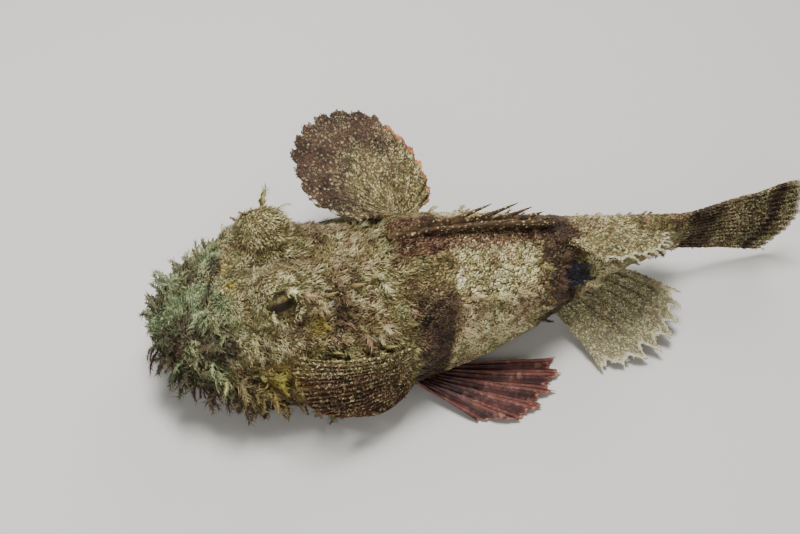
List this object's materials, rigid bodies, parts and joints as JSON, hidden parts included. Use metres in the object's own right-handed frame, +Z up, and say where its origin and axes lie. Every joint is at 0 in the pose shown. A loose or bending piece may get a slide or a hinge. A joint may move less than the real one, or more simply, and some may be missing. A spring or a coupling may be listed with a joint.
{
  "type": "spotted scorpionfish model",
  "caption": "Life-size still model of a spotted scorpionfish resting on its belly, with raised pectoral fins, folded back spines and skin flaps on the head.",
  "frame": {"origin": "on the floor, at the flat under the middle of the belly", "axes": "+X from the nose to the tail, +Z up, and the fish's left side toward -Y"},
  "size_m": [0.2878, 0.123, 0.0718],
  "materials": {
    "head_skin": "olive and grey green mottled skin with tan cheeks",
    "jaw_skin": "grey green skin",
    "eye": "glossy olive brown iris around a dark pupil",
    "body_skin": "brown and pale cream mottled skin",
    "spiny_fin": "reddish brown fin skin",
    "pale_fin": "pale olive fin skin with dark bars",
    "pectoral_fin": "pale olive spotted fin skin with orange red ray tips",
    "pelvic_fin": "maroon fin skin with coral ray tips"
  },
  "bodies": {
    "root": {"head": "head_skin", "lower_jaw": "jaw_skin", "eye_left": "eye", "eye_right": "eye", "trunk": "body_skin", "tail": "body_skin", "dorsal_fin_spiny": "spiny_fin", "dorsal_fin_soft": "pale_fin", "caudal_fin": "pale_fin", "anal_fin": "pale_fin", "pectoral_fin_left": "pectoral_fin", "pectoral_fin_right": "pectoral_fin", "pelvic_fin_left": "pelvic_fin", "pelvic_fin_right": "pelvic_fin"}
  },
  "joints": []
}
